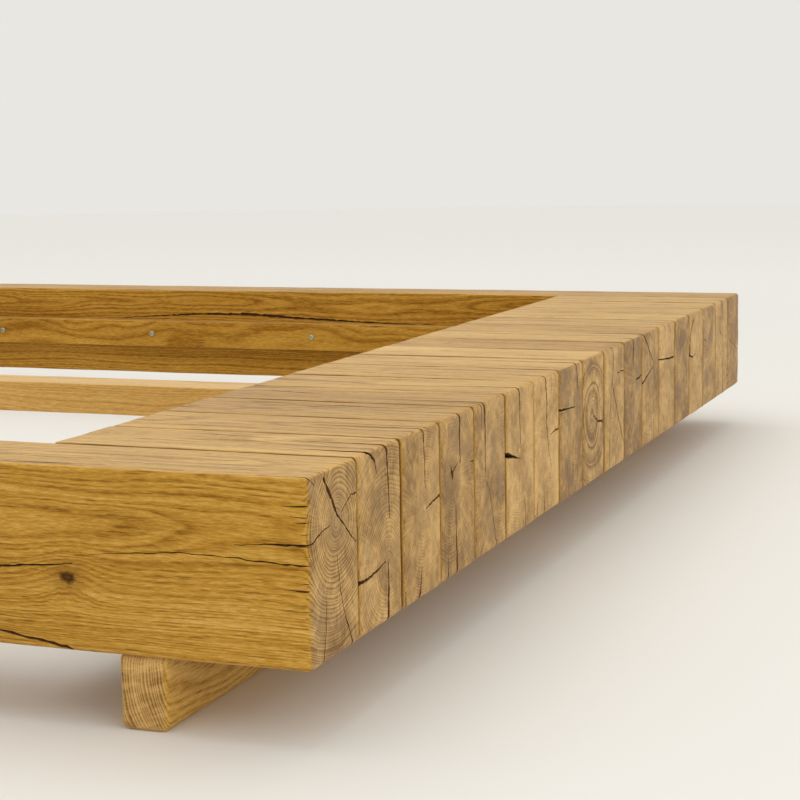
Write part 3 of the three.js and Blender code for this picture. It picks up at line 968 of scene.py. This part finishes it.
class BED_OT_stage(bpy.types.Operator):
    """Set the pale floor, the soft light and the camera"""

    bl_idname = "bed.stage"
    bl_label = "Floor, light and camera"

    def execute(self, context):
        scene = context.scene
        look = scene.bed_stage
        reach, sides = 14.0, 64
        mesh = bpy.data.meshes.new("floor")
        turns = [i * math.tau / sides for i in range(sides)]
        ring = [(reach * math.cos(a), reach * math.sin(a), 0) for a in turns]
        mesh.from_pydata(ring, [], [tuple(range(sides))])
        floor = bpy.data.objects.new("floor", mesh)
        scene.collection.objects.link(floor)
        material, add, surface = shader("Pale matt floor")
        # The floor pales with distance, so that it nearly meets the light of the room.
        distance = add("vector_length", add("place", out="Object"), out=1)
        pale = add("smooth", distance, 1.6, 5.5)
        tint = add("mix", {0: pale, 6: tuple(look.floor), 7: linear("#fdfcf9")}, out=2)
        material.node_tree.links.new(tint, surface["Base Color"])
        surface["Roughness"].default_value = 0.7
        surface["Specular IOR Level"].default_value = 0.2
        mesh.materials.append(material)

        world = bpy.data.worlds.new("Pale room")
        world.use_nodes = True
        sky = world.node_tree.nodes["Background"]
        sky.inputs["Color"].default_value = tuple(look.wall)
        sky.inputs["Strength"].default_value = 1.0
        scene.world = world

        def softbox(name, place, aim, size, watts):
            lamp = bpy.data.lights.new(name, "AREA")
            lamp.shape = "RECTANGLE"
            lamp.size, lamp.size_y = size
            lamp.energy = watts
            lamp.color = (1.0, 0.985, 0.96)
            holder = bpy.data.objects.new(name, lamp)
            holder.location = place
            holder.rotation_euler = (Vector(aim) - Vector(place)).to_track_quat("-Z", "Y").to_euler()
            scene.collection.objects.link(holder)

        softbox("overhead", (0.0, 0.0, 3.4), (0.0, 0.0, 0.2), (3.6, 3.6), 37)
        softbox("window", (7.5, -3.6, 3.4), (0.6, 0.0, 0.1), (5.0, 3.4), 98)
        softbox("room", (-2.0, -7.5, 3.0), (0.2, -0.8, 0.1), (5.0, 3.0), 14)

        camera = bpy.data.cameras.new("camera")
        camera.lens = 81.2
        camera.sensor_width = 36.0
        camera.shift_y = -0.0084
        camera.clip_start = 0.05
        eye = bpy.data.objects.new("camera", camera)
        eye.location = (1.992, -2.470, 0.538)
        pan, tilt, roll = math.radians(21.03), math.radians(7.67), math.radians(-0.93)
        eye.rotation_mode = "XYZ"
        ahead = Vector((-math.sin(pan) * math.cos(tilt), math.cos(pan) * math.cos(tilt),
                        -math.sin(tilt)))
        level = ahead.to_track_quat("-Z", "Y").to_matrix()
        eye.rotation_euler = (level @ Matrix.Rotation(roll, 3, "Z")).to_euler()
        scene.collection.objects.link(eye)
        scene.camera = eye
        scene.view_settings.view_transform = "Standard"
        return {"FINISHED"}


class BED_OT_rails(bpy.types.Operator):
    """Make the two long side rails"""

    bl_idname = "bed.rails"
    bl_label = "Side rails"

    def execute(self, context):
        oak = shared("Oiled oak, grain along the bed", oiled_oak, 0)
        ease = (context.scene.bed_timber.ease, context.scene.bed_timber.end_ease)
        # Beyond this distance from the middle the end blocks lie against the rails.
        block_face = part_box("foot_beam_02")[0][0]
        for name, number, side in (("side_rail_near", 1, -1), ("side_rail_far", 18, 1)):
            rng = random.Random(100 + number)
            timber = Timber(name)
            shade, grey, across, up, rings, *ends = FOOT_BEAMS[number]
            splits = foot_splits(timber, number, rng)
            splits += radial_splits(timber, -1, rng, (across, up))
            splits += face_splits(timber, rng, 22, "top", 320, 1.8)
            knot = NO_KNOT
            if side < 0:
                splits += near_rail_splits(timber, rng)
                splits += face_splits(timber, rng, 5, "far", 320, 1.6)
                knot = timber.on_side(-1, 249, 70)
            else:
                splits += far_rail_splits(timber, rng)
                splits += face_splits(timber, rng, 7, "far", 320, 1.8)
            make_timber("oak_" + name, timber, oak, ease, RAIL_CELLS,
                        heart_of(timber, across, up), (shade, grey, rings), number, splits, knot,
                        (side > 0, side < 0, block_face), ends=ends)
        return {"FINISHED"}


def far_rail_splits(timber, rng):
    """The long dark split above the far ledger, on the rail's inner face."""
    blades = []
    for first, last, *marks in (
            (1.2, 6.0, (1300, 116), (1210, 122), (1115, 127), (1000, 128.5)),
            (6.0, 1.4, (1000, 128.5), (900, 123), (795, 118.5), (660, 114.5), (560, 113))):
        points = [timber.on_side(-1, along, up) for along, up in marks]
        blades.append(line_split(rng, NEARWARD, first, last, 9, points))
    return blades


def settled(rng):
    """How far a beam stands from its neighbours' faces, in millimetres, after years of drying."""
    return (rng.uniform(-0.5, 0.5), 0, rng.uniform(-0.2, 0.2))


class BED_OT_blocks(bpy.types.Operator):
    """Make the short beams of both end blocks"""

    bl_idname = "bed.blocks"
    bl_label = "End blocks"

    def execute(self, context):
        oak = shared("Oiled oak, grain along the bed", oiled_oak, 0)
        ease = (context.scene.bed_timber.ease, context.scene.bed_timber.end_ease)
        for number in range(2, BEAMS_ACROSS):
            rng = random.Random(200 + number)
            timber = Timber(f"foot_beam_{number:02d}")
            shade, grey, across, up, rings, *ends = FOOT_BEAMS[number]
            splits = foot_splits(timber, number, rng)
            splits += radial_splits(timber, -1, rng, (across, up))
            splits += face_splits(timber, rng, rng.randint(3, 5), "top", 300, 1.8)
            make_timber(f"oak_foot_beam_{number:02d}", timber, oak, ease, BEAM_CELLS,
                        heart_of(timber, across, up), (shade, grey, rings), number, splits,
                        joined=(1, 1, 0), shift=settled(rng), ends=ends)
        for number in range(2, BEAMS_ACROSS):
            rng = random.Random(300 + number)
            timber = Timber(f"head_beam_{number:02d}")
            across, up = rng.uniform(20, 100), rng.uniform(50, 135)
            light, grey, rings = rng.uniform(-0.05, 0.3), rng.uniform(0.1, 0.9), rng.uniform(0.85, 1.4)
            splits = radial_splits(timber, -1, rng, (across, up))
            splits += radial_splits(timber, 1, rng, (across, up))
            splits += face_splits(timber, rng, rng.randint(3, 5), "top", 300, 1.8)
            make_timber(f"oak_head_beam_{number:02d}", timber, oak, ease, BEAM_CELLS,
                        heart_of(timber, across, up), (light - 0.25, grey, rings), number + 30, splits,
                        joined=(1, 1, 0), shift=settled(rng), ends=(0.8, light - 0.05))
        return {"FINISHED"}


class BED_OT_runners(bpy.types.Operator):
    """Make the two runners that the blocks stand on"""

    bl_idname = "bed.runners"
    bl_label = "Runners"

    def execute(self, context):
        oak = shared("Oiled oak, grain across the bed", oiled_oak, 1)
        ease = (context.scene.bed_timber.runner_ease,) * 2
        for seed, name in ((51, "foot_runner"), (52, "head_runner")):
            timber = Timber(name, along=1)
            make_timber("oak_" + name, timber, oak, ease, RUNNER_CELLS,
                        (0, -0.19, 0.03), (0.22, 0.0, 0.8), seed, ends=(2.2, 0.2))
        return {"FINISHED"}


class BED_OT_slats(bpy.types.Operator):
    """Make the ledgers, the centre rail and its middle foot"""

    bl_idname = "bed.slats"
    bl_label = "Ledgers and centre rail"

    def execute(self, context):
        oak = shared("Oiled oak, grain along the bed", oiled_oak, 0)
        pine = shared("Planed pine", planed_pine)
        ease = (context.scene.bed_timber.slat_ease,) * 2
        # The ledgers' shade of -0.29 is darker than their oak: painted shade for where they hang inside
        # the bed under the rails.
        for seed, name in ((61, "ledger_near"), (62, "ledger_far")):
            make_timber("oak_" + name, Timber(name), oak, ease, LEDGER_CELLS,
                        (0, 0.26, -0.03), (-0.29, 0.0, 1.1), seed)
        make_timber("pine_centre_rail", Timber("centre_rail"), pine, ease, CENTRE_RAIL_CELLS,
                    (0, 0.05, -0.07), (-0.15, 0.0, 1.0), 71)
        make_timber("pine_centre_foot", Timber("centre_foot"), pine, ease, FOOT_CELLS,
                    (0, 0.06, -0.05), (0.05, 0.0, 1.0), 72)
        return {"FINISHED"}


class BED_OT_steel(bpy.types.Operator):
    """Finish the steel angles and shoes"""

    bl_idname = "bed.steel"
    bl_label = "Steel angles"

    def execute(self, context):
        coat = shared("Black powder coated steel", powder_coat)
        for name, item in frame["nodes"].items():
            if name.startswith(("corner_angle", "centre_rail_shoe")):
                item.data.materials.clear()
                item.data.materials.append(coat)
        return {"FINISHED"}


class BED_OT_screws(bpy.types.Operator):
    """Set the screws of the ledgers and the steel"""

    bl_idname = "bed.screws"
    bl_label = "Screws"

    def execute(self, context):
        replaced = sorted(name for name in frame["nodes"] if name.startswith("ledger_screw"))
        places = []
        for name in replaced:
            low, high = corners(name)
            side = 1 if low.y > 0 else -1
            ledger_low, ledger_high = corners("ledger_far" if side > 0 else "ledger_near")
            seat_y = ledger_low.y if side > 0 else ledger_high.y
            middle = (low + high) / 2
            places.append((Vector((middle.x, seat_y, middle.z)), Vector((0, -side, 0))))
        make_screws("ledger_screws", places, LEDGER_SCREW_MM, replaced, 3)
        make_screws("angle_screws", angle_screw_places(), ANGLE_SCREW_MM, (), 4)
        return {"FINISHED"}


def angle_screw_places():
    """Where screws sit in the holes of the steel: seats on the faces that look into the bed."""
    places = []
    # Holes from the bend and from a leg's tip, and how thick the steel is.
    bend, tip = 18 * MM, 14 * MM
    angle_thick, shoe_thick = 5 * MM, 4 * MM
    for end in ("foot", "head"):
        x_in = -1 if end == "foot" else 1
        for side in ("near", "far"):
            low, high = corners(f"corner_angle_{end}_{side}")
            y_in = 1 if side == "near" else -1
            z = (low.z + high.z) / 2
            heel = Vector((high.x if x_in < 0 else low.x, low.y if y_in > 0 else high.y, z))
            leg = high.x - low.x
            for along in (bend, leg - tip):
                places += [
                    (heel + Vector((x_in * along, y_in * angle_thick, 0)), Vector((0, y_in, 0))),
                    (heel + Vector((x_in * angle_thick, y_in * along, 0)), Vector((x_in, 0, 0)))]
        low, high = corners(f"centre_rail_shoe_{end}")
        heel = Vector((high.x if x_in < 0 else low.x, 0, high.z))
        leg = high.x - low.x
        for along in (bend, leg - tip):
            places += [(heel + Vector((x_in * along, 0, -shoe_thick)), Vector((0, 0, -1))),
                       (heel + Vector((x_in * shoe_thick, 0, -along)), Vector((x_in, 0, 0)))]
    return places


class BED_PT_panel(bpy.types.Panel):
    """Shows the settings of the bed frame and the buttons that build it"""

    bl_idname = "BED_PT_panel"
    bl_label = "Oak beam bed frame"
    bl_space_type = "VIEW_3D"
    bl_region_type = "UI"
    bl_category = "Bed frame"

    def draw(self, context):
        column = self.layout.column()
        for group in (context.scene.bed_oak, context.scene.bed_timber, context.scene.bed_stage):
            for name in group.__annotations__:
                column.prop(group, name)
        for operator in OPERATORS:
            column.operator(operator.bl_idname)


SETTINGS = {"bed_oak": OakSettings, "bed_timber": TimberSettings, "bed_stage": StageSettings}
OPERATORS = (BED_OT_stage, BED_OT_rails, BED_OT_blocks, BED_OT_runners, BED_OT_slats, BED_OT_steel,
             BED_OT_screws)


def register():
    """Register the settings, operators and panel."""
    for item in (*SETTINGS.values(), *OPERATORS, BED_PT_panel):
        bpy.utils.register_class(item)
    for name, group in SETTINGS.items():
        setattr(bpy.types.Scene, name, bpy.props.PointerProperty(type=group))


def unregister():
    """Undo register."""
    for name in SETTINGS:
        delattr(bpy.types.Scene, name)
    for item in (BED_PT_panel, *reversed(OPERATORS), *reversed(tuple(SETTINGS.values()))):
        bpy.utils.unregister_class(item)


def main():
    """Build the whole bed frame."""
    register()
    for operator in OPERATORS:
        group, name = operator.bl_idname.split(".")
        getattr(getattr(bpy.ops, group), name)()


if __name__ == "__main__":
    main()
